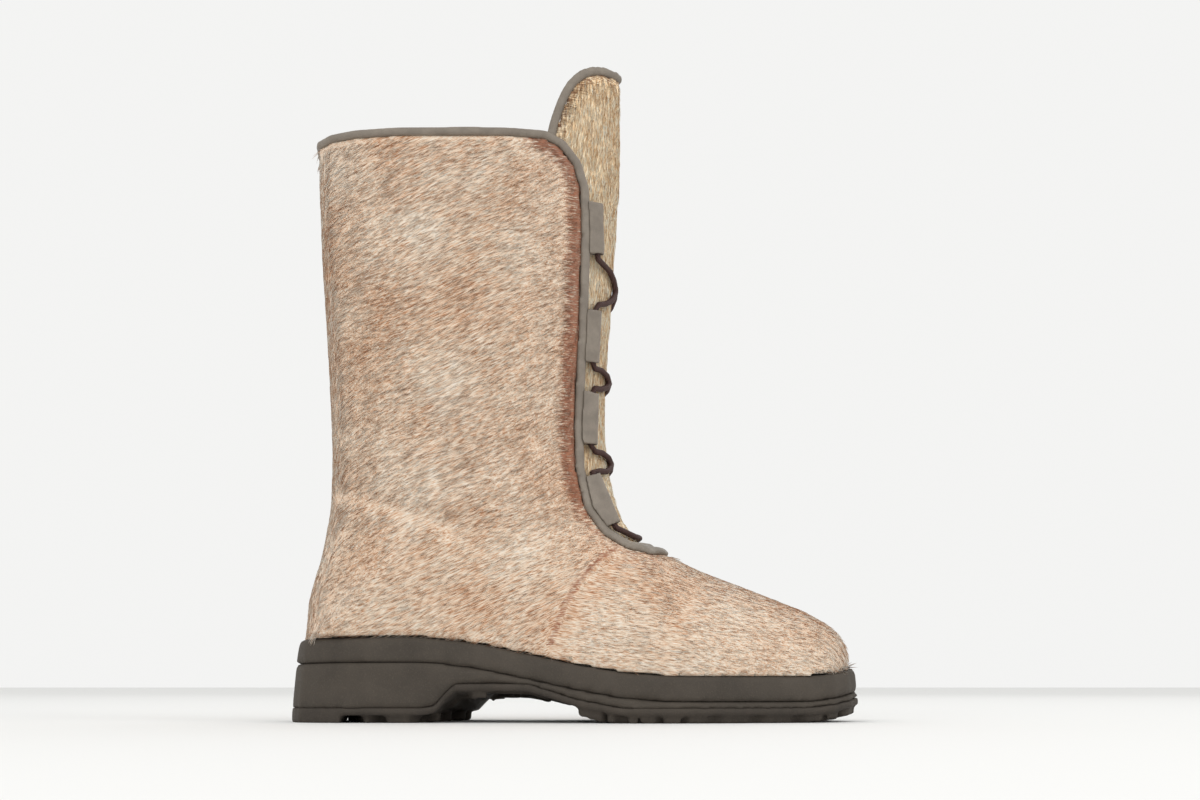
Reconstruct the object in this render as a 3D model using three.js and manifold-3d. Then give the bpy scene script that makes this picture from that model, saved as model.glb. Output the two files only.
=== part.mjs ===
// Mukluk boot for the right foot: a hair-on hide upper on a thick rubber sole.
// Millimetres, +Z up, +X towards the toe and +Y towards the inner side of the foot.

import * as THREE from 'three';
import { mergeVertices } from 'three/addons/utils/BufferGeometryUtils.js';
import Module from 'manifold-3d';

const wasm = await Module();
wasm.setup();

// Driving dimensions of the sole
const soleLength = 292;
const ballWidth = 112;
const heelStack = 42;
const foreStack = 22.5;
const shankRise = 12;
const toeSpring = 5.5;
const midsoleThickness = 12;
const treadSheet = 3;
const lugDepth = 4;
const lugArm = 9.2;
const lugWidth = 3;
const lugPitch = 11.84;
const lugRowPitch = 22.2;
const lugTurn = 16;
const lugSetback = 2.2;
const archPatchHeight = 1.4;
const wallDraft = 1.2;
const heelLean = 1.2;
const rimChamfer = 1.6;

// Driving dimensions of the upper
const shaftHeight = 263;
const shaftWidth = 89;
const instepRise = 66;
const hideWall = 3;
const rimInset = 3;
const tongueThickness = 2.6;
const insoleThickness = 3;
const insoleMargin = 5;
const seamHeight = 1.4;
const seamWidth = 3.6;
const seamSet = 0.5;

// Driving dimensions of the leather and the lace
const bindingWidth = 3.6;
const bindingProud = 0.9;
const tongueBindingWidth = 3;
const tabThickness = 1.6;
const loopLength = 28;
const loopReach = 10;
const loopLeather = 1.2;
const laceDiameter = 3;

const gap = 0.3;
const tongueClearance = 0.8;
const loopClearance = 0.5;
const loopRoom = 1;
const laceClearance = 1.2;
const laceDrop = 2;

// Parts of the sole along its length, as shares of the sole length
const breastStart = 0.27;
const breastEnd = 0.322;
const breastSkew = 0.2;
const shankEnd = 0.4;
const ballStart = 0.57;
const toeStart = 0.88;

// Plan of the sole: place along it as a share of its length, edges as shares of the ball width
const outlineRows = [
  { at: 0, outer: 0.06, inner: 0.06 },
  { at: 0.017, outer: -0.16, inner: 0.235 },
  { at: 0.043, outer: -0.23, inner: 0.315 },
  { at: 0.095, outer: -0.271, inner: 0.395 },
  { at: 0.17, outer: -0.283, inner: 0.44 },
  { at: 0.26, outer: -0.284, inner: 0.463 },
  { at: 0.33, outer: -0.298, inner: 0.455 },
  { at: 0.4, outer: -0.317, inner: 0.417 },
  { at: 0.45, outer: -0.33, inner: 0.41 },
  { at: 0.5, outer: -0.35, inner: 0.438 },
  { at: 0.55, outer: -0.376, inner: 0.495 },
  { at: 0.6, outer: -0.396, inner: 0.555 },
  { at: 0.66, outer: -0.399, inner: 0.591 },
  { at: 0.724, outer: -0.376, inner: 0.601 },
  { at: 0.79, outer: -0.335, inner: 0.573 },
  { at: 0.86, outer: -0.28, inner: 0.514 },
  { at: 0.92, outer: -0.232, inner: 0.445 },
  { at: 0.965, outer: -0.145, inner: 0.349 },
  { at: 0.99, outer: -0.046, inner: 0.239 },
  { at: 1, outer: 0.1, inner: 0.1 },
];

// Height of the bed that the upper stands on: from the ball stack (0) to the heel stack (1)
const bedRows = [
  { at: 0, rise: 0.95 },
  { at: 0.1, rise: 0.99 },
  { at: 0.22, rise: 1 },
  { at: 0.31, rise: 0.88 },
  { at: 0.4, rise: 0.63 },
  { at: 0.48, rise: 0.37 },
  { at: 0.56, rise: 0.13 },
  { at: 0.63, rise: 0.02 },
  { at: 0.7, rise: 0 },
  { at: 1, rise: 0 },
];

// Vamp: upright sections from the toe back. Ridge is the height above the bed in instep rises.
const vampRows = [
  { at: 1, ridge: 0.1, nose: 0.45 },
  { at: 0.994, ridge: 0.21, nose: 0.45 },
  { at: 0.98, ridge: 0.3, nose: 0.45 },
  { at: 0.955, ridge: 0.41, nose: 0.45 },
  { at: 0.915, ridge: 0.52, nose: 0.46 },
  { at: 0.865, ridge: 0.61, nose: 0.47 },
  { at: 0.8, ridge: 0.72, nose: 0.49 },
  { at: 0.73, ridge: 0.835, nose: 0.52 },
  { at: 0.67, ridge: 0.96, nose: 0.56 },
];

// Leg: sections that fan from the instep round to the shaft. Back and front are places along
// the sole length, lift and top are heights above the heel bed in shaft heights.
const legRows = [
  { back: 0.61, lift: 0, front: 0.641, top: 0.188, wide: 0, widest: 0.08, heelRound: 2, nose: 0.58 },
  { back: 0.545, lift: 0, front: 0.614, top: 0.217, wide: 0, widest: 0.1, heelRound: 1.8, nose: 0.6 },
  { back: 0.47, lift: 0, front: 0.595, top: 0.251, wide: 0.46, widest: 0.14, heelRound: 1.7, nose: 0.62 },
  { back: 0.39, lift: 0, front: 0.584, top: 0.289, wide: 0.452, widest: 0.2, heelRound: 1.7, nose: 0.62 },
  { back: 0.305, lift: 0, front: 0.576, top: 0.331, wide: 0.455, widest: 0.26, heelRound: 1.7, nose: 0.62 },
  { back: 0.22, lift: 0, front: 0.571, top: 0.376, wide: 0.458, widest: 0.31, heelRound: 1.75, nose: 0.62 },
  { back: 0.145, lift: 0, front: 0.568, top: 0.422, wide: 0.462, widest: 0.35, heelRound: 1.8, nose: 0.62 },
  { back: 0.08, lift: 0, front: 0.568, top: 0.468, wide: 0.464, widest: 0.38, heelRound: 1.9, nose: 0.62 },
  { back: 0.03, lift: 0, front: 0.57, top: 0.517, wide: 0.465, widest: 0.4, heelRound: 2.0, nose: 0.62 },
  { back: 0, lift: 0, front: 0.573, top: 0.57, wide: 0.465, widest: 0.42, heelRound: 2.2, nose: 0.62 },
  { back: 0.009, lift: 0.076, front: 0.576, top: 0.624, wide: 0.465, widest: 0.45, heelRound: 2.4, nose: 0.62 },
  { back: 0.029, lift: 0.16, front: 0.58, top: 0.677, wide: 0.465, widest: 0.48, heelRound: 2.4, nose: 0.62 },
  { back: 0.042, lift: 0.251, front: 0.583, top: 0.738, wide: 0.468, widest: 0.5, heelRound: 2.4, nose: 0.62 },
  { back: 0.043, lift: 0.35, front: 0.587, top: 0.802, wide: 0.474, widest: 0.5, heelRound: 2.5, nose: 0.62 },
  { back: 0.037, lift: 0.468, front: 0.591, top: 0.867, wide: 0.482, widest: 0.5, heelRound: 2.7, nose: 0.62 },
  { back: 0.028, lift: 0.6, front: 0.595, top: 0.935, wide: 0.49, widest: 0.5, heelRound: 2.9, nose: 0.62 },
  { back: 0.016, lift: 0.753, front: 0.597, top: 1, wide: 0.496, widest: 0.5, heelRound: 3.1, nose: 0.62 },
  { back: 0.008, lift: 0.886, front: 0.597, top: 1.1, wide: 0.5, widest: 0.5, heelRound: 3.2, nose: 0.62 },
  { back: 0.002, lift: 1.03, front: 0.597, top: 1.24, wide: 0.5, widest: 0.5, heelRound: 3.2, nose: 0.62 },
];

// Front edge of the shaft from the collar corner to the throat, seen from the side:
// place as a share of the sole length, height above the heel bed in shaft heights
const edgeRows = [
  { at: 0.44, height: 1 },
  { at: 0.472, height: 0.985 },
  { at: 0.498, height: 0.95 },
  { at: 0.512, height: 0.9 },
  { at: 0.515, height: 0.8 },
  { at: 0.511, height: 0.65 },
  { at: 0.505, height: 0.5 },
  { at: 0.502, height: 0.42 },
  { at: 0.505, height: 0.33 },
  { at: 0.522, height: 0.25 },
  { at: 0.552, height: 0.205 },
  { at: 0.59, height: 0.18 },
  { at: 0.63, height: 0.17 },
  { at: 0.7, height: 0.18 },
];

// Outline of the tongue seen from the side, from its foot up the wing and over the round top
const tongueRows = [
  { at: 0.7, height: 0.13 },
  { at: 0.56, height: 0.1 },
  { at: 0.46, height: 0.19 },
  { at: 0.435, height: 0.3 },
  { at: 0.435, height: 0.7 },
  { at: 0.443, height: 0.98 },
  { at: 0.457, height: 1.055 },
  { at: 0.484, height: 1.128 },
  { at: 0.52, height: 1.166 },
  { at: 0.56, height: 1.178 },
  { at: 0.66, height: 1.18 },
];

const tongueBindingFrom = 0.93;
const tongueBindingProud = 0.6;

// Throat tab seen from the side
const tabRows = [
  { at: 0.5, height: 0.1 },
  { at: 0.535, height: 0.16 },
  { at: 0.59, height: 0.188 },
  { at: 0.7, height: 0.19 },
  { at: 0.7, height: 0.1 },
];
const tabDepth = 1;

// Lace loops: middle height above the heel bed in shaft heights
const loopHeights = [0.82, 0.6, 0.435, 0.265];

// Vamp seam from the throat down to the bed
const seamRows = [
  { at: 0.575, height: 0.175 },
  { at: 0.545, height: 0.155 },
  { at: 0.51, height: 0.115 },
  { at: 0.48, height: 0.06 },
  { at: 0.458, height: -0.01 },
];

// Plain arch patch, in shares of the sole length and of the ball width
const archPatch = [
  { at: 0.298, side: 0.3 },
  { at: 0.272, side: -0.085 },
  { at: 0.325, side: -0.13 },
  { at: 0.375, side: -0.2 },
  { at: 0.45, side: -0.2 },
  { at: 0.492, side: 0.19 },
  { at: 0.43, side: 0.175 },
  { at: 0.375, side: 0.17 },
  { at: 0.33, side: 0.27 },
];

// Front boundary of the plain patch at the back of the heel
const heelPatch = [
  { at: 0.055, side: 0.42 },
  { at: 0.085, side: 0.08 },
  { at: 0.1, side: -0.06 },
  { at: 0.095, side: -0.35 },
];

// Where the middle of one upright lug lies
const lugOrigin = { at: 0.7576, side: 0.1486 };

// How flat the form runs past its widest place
const swell = 2.2;

const endStations = 20;
const slopeStations = 8;
const breastMargin = 0.05;
const stationRoom = 0.01;
const rearPoints = 5;
const frontPoints = 6;
const tonguePoints = 6;
const tongueFrom = 0.55;
const laceSides = 3;
const laceSteps = [0.22, 0.5, 0.78];
const strandSteps = 42;
const barSteps = 10;
// Half the width over which the front counts as level across
const ridgeHalf = 4;

const material = (color, roughness) => new THREE.MeshStandardMaterial({ color, roughness, metalness: 0 });
const rubber = material(0x4f4942, 0.85);
const foam = material(0x554e46, 0.9);
const hide = material(0xc3a98e, 0.9);
const tongueHide = material(0xc99f6d, 0.9);
const greyLeather = material(0x7f756b, 0.55);
const fleece = material(0xd8cdb9, 0.95);
const cord = material(0x3d2524, 0.8);

// A smooth curve through rows that never overshoots them
function curve(places, values) {
  const count = places.length;
  const step = [];
  const slope = [];
  for (let i = 0; i < count - 1; i++) {
    step.push(places[i + 1] - places[i]);
    slope.push((values[i + 1] - values[i]) / step[i]);
  }
  const tangent = places.map((_, i) => {
    if (i === 0) return slope[0];
    if (i === count - 1) return slope[count - 2];
    if (slope[i - 1] * slope[i] <= 0) return 0;
    const before = 2 * step[i] + step[i - 1];
    const after = step[i] + 2 * step[i - 1];
    return (before + after) / (before / slope[i - 1] + after / slope[i]);
  });
  return (x) => {
    const clamped = Math.min(Math.max(x, places[0]), places[count - 1]);
    let i = 0;
    while (i < count - 2 && clamped > places[i + 1]) i++;
    const t = (clamped - places[i]) / step[i];
    const a = values[i] * (1 + 2 * t) * (1 - t) ** 2 + values[i + 1] * t * t * (3 - 2 * t);
    const b = tangent[i] * step[i] * t * (1 - t) ** 2 - tangent[i + 1] * step[i] * t * t * (1 - t);
    return a + b;
  };
}

const column = (rows, name) => curve(rows.map((_, i) => i), rows.map((row) => row[name]));

// Sole outline: the angle spaces places closely at both round ends
const angleOf = (share) => Math.acos(1 - 2 * Math.min(Math.max(share, 0), 1));
const outlineAngles = outlineRows.map((row) => angleOf(row.at));
const outerShare = curve(outlineAngles, outlineRows.map((row) => row.outer));
const innerShare = curve(outlineAngles, outlineRows.map((row) => row.inner));
const outerEdge = (share) => ballWidth * outerShare(angleOf(share));
const innerEdge = (share) => ballWidth * innerShare(angleOf(share));
const halfWidth = (share) => (innerEdge(share) - outerEdge(share)) / 2;
const middle = (share) => (innerEdge(share) + outerEdge(share)) / 2;

const smoothStep = (x, from, to) => {
  const t = Math.min(Math.max((x - from) / (to - from), 0), 1);
  return t * t * (3 - 2 * t);
};

// Underside of the sole where the lugs end: flat at heel and ball, raised at shank and toe.
// The heel breast lies further forward on the inner side of the foot.
function treadHeight(x, y) {
  const share = x / soleLength;
  const breast = share - (breastSkew * y) / soleLength;
  const arch = smoothStep(breast, breastStart, breastEnd) * (1 - smoothStep(share, shankEnd, ballStart));
  const toe = Math.max(share - toeStart, 0) / (1 - toeStart);
  return shankRise * arch + toeSpring * toe * toe;
}

const bedShare = curve(bedRows.map((row) => row.at), bedRows.map((row) => row.rise));
const bedHeight = (x) => {
  const toe = Math.max(x / soleLength - toeStart, 0) / (1 - toeStart);
  return foreStack + (heelStack - foreStack) * bedShare(x / soleLength) + toeSpring * toe * toe;
};
const grooveHeight = (x) => bedHeight(x) - midsoleThickness;
const sheetBottom = (x, y) => treadHeight(x, y) + lugDepth;
const sheetTop = (x, y) => sheetBottom(x, y) + treadSheet;

// Solids and booleans
function toSolid(geometry) {
  const bare = geometry.clone();
  for (const name of Object.keys(bare.attributes)) {
    if (name !== 'position') bare.deleteAttribute(name);
  }
  const merged = mergeVertices(bare, 1e-4);
  const points = merged.attributes.position.array;
  const index = [];
  const source = merged.index.array;
  for (let i = 0; i < source.length; i += 3) {
    const [a, b, c] = [source[i], source[i + 1], source[i + 2]];
    if (a !== b && b !== c && c !== a) index.push(a, b, c);
  }
  const mesh = new wasm.Mesh({
    numProp: 3,
    vertProperties: Float32Array.from(points),
    triVerts: Uint32Array.from(index),
  });
  return new wasm.Manifold(mesh);
}

function toGeometry(solid) {
  const mesh = solid.getMesh();
  const geometry = new THREE.BufferGeometry();
  geometry.setAttribute('position', new THREE.BufferAttribute(mesh.vertProperties.slice(), 3));
  geometry.setIndex(new THREE.BufferAttribute(mesh.triVerts.slice(), 1));
  geometry.computeVertexNormals();
  return geometry;
}

const boot = new THREE.Group();

function addPiece(name, geometry, finish) {
  const mesh = new THREE.Mesh(geometry, finish);
  mesh.name = name;
  boot.add(mesh);
}

// Places along the sole: close together at both round ends and at the heel breast
const roundStations = Array.from({ length: endStations + 1 }, (_, k) => {
  return (1 - Math.cos((Math.PI * k) / endStations)) / 2;
});
const breastFrom = breastStart - breastMargin;
const breastTo = breastEnd + breastMargin;
const breastStations = Array.from({ length: slopeStations + 1 }, (_, k) => {
  return breastFrom + ((breastTo - breastFrom) * k) / slopeStations;
});
const stations = [
  ...roundStations.filter((share) => share < breastFrom - stationRoom || share > breastTo + stationRoom),
  ...breastStations,
].sort((a, b) => a - b);

// A slab along the sole: rings of the outline, each with its inset and its height rule
function soleSlab(rings) {
  const points = [];
  const index = [];
  const last = stations.length - 1;
  const around = 2 * last;
  for (const ring of rings) {
    const length = soleLength - ring.rear - ring.front;
    for (let i = 0; i < around; i++) {
      const share = stations[i <= last ? i : around - i];
      const x = ring.rear + share * length;
      const half = Math.max(halfWidth(share) - ring.side * smoothStep(halfWidth(share), 0, ballWidth / 4), 0);
      const y = middle(share) + (i <= last ? -half : half);
      points.push(x, y, ring.height(x, y));
    }
  }
  const levels = rings.length;
  for (let level = 0; level < levels - 1; level++) {
    for (let i = 0; i < around; i++) {
      const a = level * around + i;
      const b = level * around + ((i + 1) % around);
      index.push(a, b, b + around, a, b + around, a + around);
    }
  }
  const top = (levels - 1) * around;
  for (let k = 0; k < last; k++) {
    const [a, b] = [k, k + 1];
    const [c, d] = [(around - k) % around, around - k - 1];
    index.push(a, d, b, a, c, d);
    index.push(top + a, top + b, top + d, top + a, top + d, top + c);
  }
  const geometry = new THREE.BufferGeometry();
  geometry.setAttribute('position', new THREE.BufferAttribute(new Float32Array(points), 3));
  geometry.setIndex(index);
  return geometry;
}

const ringAt = (height, inset, lean) => ({ rear: inset + lean, front: inset, side: inset, height });

// A prism upright in plan, from an outline of { x, y } points
function planPrism(points, low, high) {
  const shape = new THREE.Shape(points.map((p) => new THREE.Vector2(p.x, p.y)));
  const geometry = new THREE.ExtrudeGeometry(shape, { depth: high - low, bevelEnabled: false });
  return geometry.translate(0, 0, low);
}

// A prism across the boot, from an outline of { x, z } points
function crossPrism(points) {
  const reach = 2 * ballWidth;
  const shape = new THREE.Shape(points.map((p) => new THREE.Vector2(p.x, p.z)));
  const geometry = new THREE.ExtrudeGeometry(shape, { depth: 2 * reach, bevelEnabled: false });
  return geometry.rotateX(Math.PI / 2).translate(0, reach, 0);
}

const planPoint = (row) => ({ x: row.at * soleLength, y: row.side * ballWidth });

// Tread: three-armed lugs in rows, every other row upside down, cut off at the outline
function lugOutline(x, y, upright) {
  const points = [];
  const turn = THREE.MathUtils.degToRad(lugTurn) + (upright ? 0 : Math.PI);
  const half = lugWidth / 2;
  const crotch = lugWidth / Math.sqrt(3);
  for (const arm of [90, 210, 330]) {
    const along = THREE.MathUtils.degToRad(arm) + turn;
    const [c, s] = [Math.cos(along), Math.sin(along)];
    points.push({ x: x + lugArm * c + half * s, y: y + lugArm * s - half * c });
    points.push({ x: x + lugArm * c - half * s, y: y + lugArm * s + half * c });
    const between = along + Math.PI / 3;
    points.push({ x: x + crotch * Math.cos(between), y: y + crotch * Math.sin(between) });
  }
  return points;
}

const inside = (x, y, polygon) => {
  let odd = false;
  for (let i = 0, j = polygon.length - 1; i < polygon.length; j = i++) {
    const [a, b] = [polygon[i], polygon[j]];
    if (a.y > y !== b.y > y && x < ((b.x - a.x) * (y - a.y)) / (b.y - a.y) + a.x) odd = !odd;
  }
  return odd;
};

const insideSole = (x, y, margin) => {
  const share = x / soleLength;
  if (share <= 0 || share >= 1) return false;
  return y > outerEdge(share) + margin && y < innerEdge(share) - margin;
};

const archOutline = archPatch.map(planPoint);
const heelOutline = [
  { x: -ballWidth, y: ballWidth },
  { x: -ballWidth, y: -ballWidth },
  { x: planPoint(heelPatch[3]).x, y: -ballWidth },
  ...heelPatch.map(planPoint).reverse(),
  { x: planPoint(heelPatch[0]).x, y: ballWidth },
];

function onTread(points) {
  const kept = points.filter((p) => insideSole(p.x, p.y, 0)).length;
  const blocked = points.some((p) => inside(p.x, p.y, archOutline) || inside(p.x, p.y, heelOutline));
  const rises = points.map((p) => treadHeight(p.x, p.y));
  const steep = Math.max(...rises) - Math.min(...rises) > lugDepth;
  return kept >= 4 && !blocked && !steep;
}

function followTread(geometry) {
  const position = geometry.attributes.position;
  for (let i = 0; i < position.count; i++) {
    const rise = treadHeight(position.getX(i), position.getY(i));
    position.setZ(i, position.getZ(i) + rise);
  }
  return geometry;
}

function lugs() {
  const turn = THREE.MathUtils.degToRad(lugTurn);
  const rows = Math.ceil(soleLength / lugRowPitch);
  const steps = Math.ceil(soleLength / lugPitch);
  const solids = [];
  for (let row = -2 * rows; row <= 2 * rows; row++) {
    for (let step = -steps; step <= steps; step++) {
      const across = (row * lugRowPitch) / 2;
      const along = step * lugPitch;
      const x = lugOrigin.at * soleLength + across * Math.cos(turn) - along * Math.sin(turn);
      const y = lugOrigin.side * ballWidth + across * Math.sin(turn) + along * Math.cos(turn);
      const points = lugOutline(x, y, row % 2 === 0);
      if (!onTread(points)) continue;
      solids.push(toSolid(followTread(planPrism(points, 0, lugDepth + treadSheet / 2))));
    }
  }
  return solids;
}

// A plain patch of the tread that stands proud of the sheet by a height
function plainPatch(outline, height) {
  const layer = toSolid(soleSlab([ringAt((x, y) => sheetBottom(x, y) - height, 0, 0), ringAt(sheetTop, 0, 0)]));
  return layer.intersect(toSolid(planPrism(outline, -heelStack, heelStack)));
}

function outsole() {
  const sheet = toSolid(soleSlab([ringAt(sheetBottom, 0, 0), ringAt(sheetTop, 0, 0)]));
  const edge = toSolid(soleSlab([
    ringAt((x, y) => treadHeight(x, y) - lugDepth, lugSetback, 0),
    ringAt(sheetTop, lugSetback, 0),
  ]));
  const patches = [plainPatch(heelOutline, lugDepth), plainPatch(archOutline, archPatchHeight)];
  const pattern = wasm.Manifold.union(lugs()).intersect(edge);
  return toGeometry(wasm.Manifold.union([sheet, pattern, ...patches]));
}

addPiece('outsole', outsole(), rubber);
const solePiece = (rings) => toGeometry(toSolid(soleSlab(rings)));
addPiece('wedge', solePiece([
  ringAt((x, y) => sheetTop(x, y) + gap, 0, 0),
  ringAt((x) => grooveHeight(x) - gap - rimChamfer / 2, wallDraft / 2, heelLean * 0.6),
  ringAt((x) => grooveHeight(x) - gap, wallDraft, heelLean * 0.6 + wallDraft / 2),
]), foam);
addPiece('midsole', solePiece([
  ringAt(grooveHeight, wallDraft, heelLean * 0.6 + wallDraft / 2),
  ringAt((x) => grooveHeight(x) + rimChamfer / 2, wallDraft / 2, heelLean * 0.6),
  ringAt((x) => bedHeight(x) - rimChamfer, wallDraft, heelLean),
  ringAt(bedHeight, wallDraft + rimChamfer, heelLean),
]), foam);

// Outer form of the upper. A rib is a straight line across the side view from the bed or the
// back seam to the ridge or the front, and the form widens and rounds off along it.
const rimSpan = soleLength - 2 * rimInset;
const rimPlace = (share) => rimInset + heelLean * (1 - smoothStep(share, 0, 0.2)) + share * (rimSpan - heelLean);
const rimHalf = (share) => halfWidth(share) * (1 - (2 * rimInset) / ballWidth);

const vampRibs = vampRows.map((row) => {
  const x = rimPlace(row.at);
  const bed = bedHeight(x) + gap;
  return {
    backX: x,
    backZ: bed,
    frontX: x,
    frontZ: bed + row.ridge * instepRise,
    base: rimHalf(row.at),
    wide: rimHalf(row.at),
    widest: 0.06,
    heelRound: 2,
    nose: row.nose,
    backY: middle(row.at),
    frontY: middle(row.at),
  };
});

const legCentre = 0.07 * ballWidth;
const legRibs = legRows.map((row) => {
  const onBed = row.lift === 0;
  const x = onBed ? rimPlace(row.back) : row.back * soleLength + rimInset;
  const base = onBed ? rimHalf(row.back) : 0;
  return {
    backX: x,
    backZ: onBed ? bedHeight(x) + gap : heelStack + row.lift * shaftHeight,
    frontX: row.front * soleLength,
    frontZ: heelStack + row.top * shaftHeight,
    base,
    wide: Math.max(row.wide * shaftWidth, base),
    widest: row.widest,
    heelRound: row.heelRound,
    nose: row.nose,
    backY: onBed ? middle(row.back) : legCentre,
    frontY: legCentre,
  };
});

const ribs = [...vampRibs, ...legRibs];
const ribNames = Object.keys(ribs[0]);
const ribCurves = ribNames.map((name) => column(ribs, name));
const ribAt = (place) => Object.fromEntries(ribNames.map((name, i) => [name, ribCurves[i](place)]));
const lastRib = ribs.length - 1;
const firstLegRib = vampRows.length;

function halfAlong(rib, t) {
  if (t < rib.widest) {
    const fall = (rib.widest - t) / rib.widest;
    return rib.base + (rib.wide - rib.base) * (1 - fall ** rib.heelRound) ** (1 / rib.heelRound);
  }
  const fall = Math.min((t - rib.widest) / (1 - rib.widest), 1);
  return rib.wide * (1 - fall ** swell) ** rib.nose;
}

// side is -1 on the outer side of the foot and 1 on the inner side
function formPoint(rib, t, side) {
  const x = rib.backX + (rib.frontX - rib.backX) * t;
  const z = rib.backZ + (rib.frontZ - rib.backZ) * t;
  const centre = rib.backY + (rib.frontY - rib.backY) * smoothStep(t, 0, 1);
  return new THREE.Vector3(x, centre + side * halfAlong(rib, t), z);
}

const quarterTurns = (count) => Array.from({ length: count + 1 }, (_, k) => ((k / count) * Math.PI) / 2);

// Places along a rib: even turns round its rear, then round its front
function wholeRib(rib) {
  const rear = quarterTurns(rearPoints).map((turn) => rib.widest * (1 - Math.cos(turn) ** (2 / rib.heelRound)));
  const front = quarterTurns(frontPoints).slice(1).map((turn) => rib.widest + (1 - rib.widest) * Math.sin(turn));
  return [...rear, ...front];
}

const frontOfRib = () => quarterTurns(tonguePoints).map((turn) => tongueFrom + (1 - tongueFrom) * Math.sin(turn));

// A grid over the form between two ribs, from the lower edge over the top to the other side
function formGrid(fromRib, toRib, shares) {
  const points = [];
  const index = [];
  const steps = toRib - fromRib;
  const columns = shares(ribAt(fromRib)).length - 1;
  const around = 2 * columns;
  for (let i = 0; i <= steps; i++) {
    const rib = ribAt(fromRib + i);
    const places = shares(rib);
    for (let j = 0; j <= around; j++) {
      const side = j <= columns ? -1 : 1;
      const k = j <= columns ? j : around - j;
      points.push(...formPoint(rib, places[k], side).toArray());
    }
  }
  const width = around + 1;
  for (let i = 0; i < steps; i++) {
    for (let j = 0; j < around; j++) {
      const a = i * width + j;
      const b = a + 1;
      index.push(a, b, a + width, b, b + width, a + width);
    }
  }
  const geometry = new THREE.BufferGeometry();
  geometry.setAttribute('position', new THREE.BufferAttribute(new Float32Array(points), 3));
  geometry.setIndex(index);
  const merged = mergeVertices(geometry, 1e-3);
  const kept = [];
  const source = merged.index.array;
  for (let i = 0; i < source.length; i += 3) {
    const [a, b, c] = [source[i], source[i + 1], source[i + 2]];
    if (a !== b && b !== c && c !== a) kept.push(a, b, c);
  }
  merged.setIndex(kept);
  merged.computeVertexNormals();
  return merged;
}

// A wall between two depths under the form, closed along its open edges
function shell(grid, shallow, deep, standsOnBed = false) {
  const position = grid.attributes.position;
  const normal = grid.attributes.normal;
  const index = grid.index.array;
  const count = position.count;
  const points = [];
  const open = new Map();
  for (let i = 0; i < index.length; i += 3) {
    for (const [a, b] of [[index[i], index[i + 1]], [index[i + 1], index[i + 2]], [index[i + 2], index[i]]]) {
      if (!open.delete(b + ',' + a)) open.set(a + ',' + b, [a, b]);
    }
  }
  const rim = new Set([...open.values()].flat());
  for (const depth of [shallow, deep]) {
    for (let i = 0; i < count; i++) {
      const p = new THREE.Vector3().fromBufferAttribute(position, i);
      const n = new THREE.Vector3().fromBufferAttribute(normal, i);
      const onBed = standsOnBed && rim.has(i) && p.z < heelStack + 2 * gap;
      if (onBed) n.setZ(0).normalize();
      p.addScaledVector(n, -depth);
      if (onBed) p.setZ(bedHeight(p.x) + gap);
      points.push(p.x, p.y, p.z);
    }
  }
  const faces = [];
  for (let i = 0; i < index.length; i += 3) {
    faces.push(index[i], index[i + 1], index[i + 2]);
    faces.push(index[i] + count, index[i + 2] + count, index[i + 1] + count);
  }
  for (const [a, b] of open.values()) {
    faces.push(b, a, a + count, b, a + count, b + count);
  }
  const geometry = new THREE.BufferGeometry();
  geometry.setAttribute('position', new THREE.BufferAttribute(new Float32Array(points), 3));
  geometry.setIndex(faces);
  return toSolid(geometry);
}

const sidePoint = (row) => ({ x: row.at * soleLength, z: heelStack + row.height * shaftHeight });

// Moves an open side-view line to its left by a distance
function beside(line, distance) {
  return line.map((p, i) => {
    const before = line[Math.max(i - 1, 0)];
    const after = line[Math.min(i + 1, line.length - 1)];
    const length = Math.hypot(after.x - before.x, after.z - before.z);
    const dx = (after.x - before.x) / length;
    const dz = (after.z - before.z) / length;
    return { x: p.x - dz * distance, z: p.z + dx * distance };
  });
}

const farBack = { x: -ballWidth, z: heelStack + shaftHeight };
const openingEdge = [farBack, ...edgeRows.map(sidePoint)];
const farFront = soleLength * 1.2;
const farTop = heelStack + 1.5 * shaftHeight;

function openingBeyond(distance) {
  const line = beside(openingEdge, distance);
  return [...line, { x: farFront, z: line[line.length - 1].z }, { x: farFront, z: farTop }, { x: -ballWidth, z: farTop }];
}

const formSurface = formGrid(0, lastRib, wholeRib);
const opening = toSolid(crossPrism(openingBeyond(-bindingWidth / 2)));

// Finds the point of the form seen at x and z from one side
function formAt(x, z, side) {
  let low = firstLegRib - 3;
  let high = lastRib;
  for (let i = 0; i < 40; i++) {
    const mid = (low + high) / 2;
    const rib = ribAt(mid);
    const cross = (rib.frontX - rib.backX) * (z - rib.backZ) - (rib.frontZ - rib.backZ) * (x - rib.backX);
    if (cross > 0) low = mid;
    else high = mid;
  }
  const rib = ribAt((low + high) / 2);
  const run = (rib.frontX - rib.backX) ** 2 + (rib.frontZ - rib.backZ) ** 2;
  const t = ((x - rib.backX) * (rib.frontX - rib.backX) + (z - rib.backZ) * (rib.frontZ - rib.backZ)) / run;
  return formPoint(rib, Math.min(Math.max(t, 0), 1), side);
}

function formNormal(x, z, side) {
  const step = 0.5;
  const alongX = formAt(x + step, z, side).sub(formAt(x - step, z, side));
  const alongZ = formAt(x, z + step, side).sub(formAt(x, z - step, side));
  return alongZ.cross(alongX).multiplyScalar(side).normalize();
}

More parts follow.
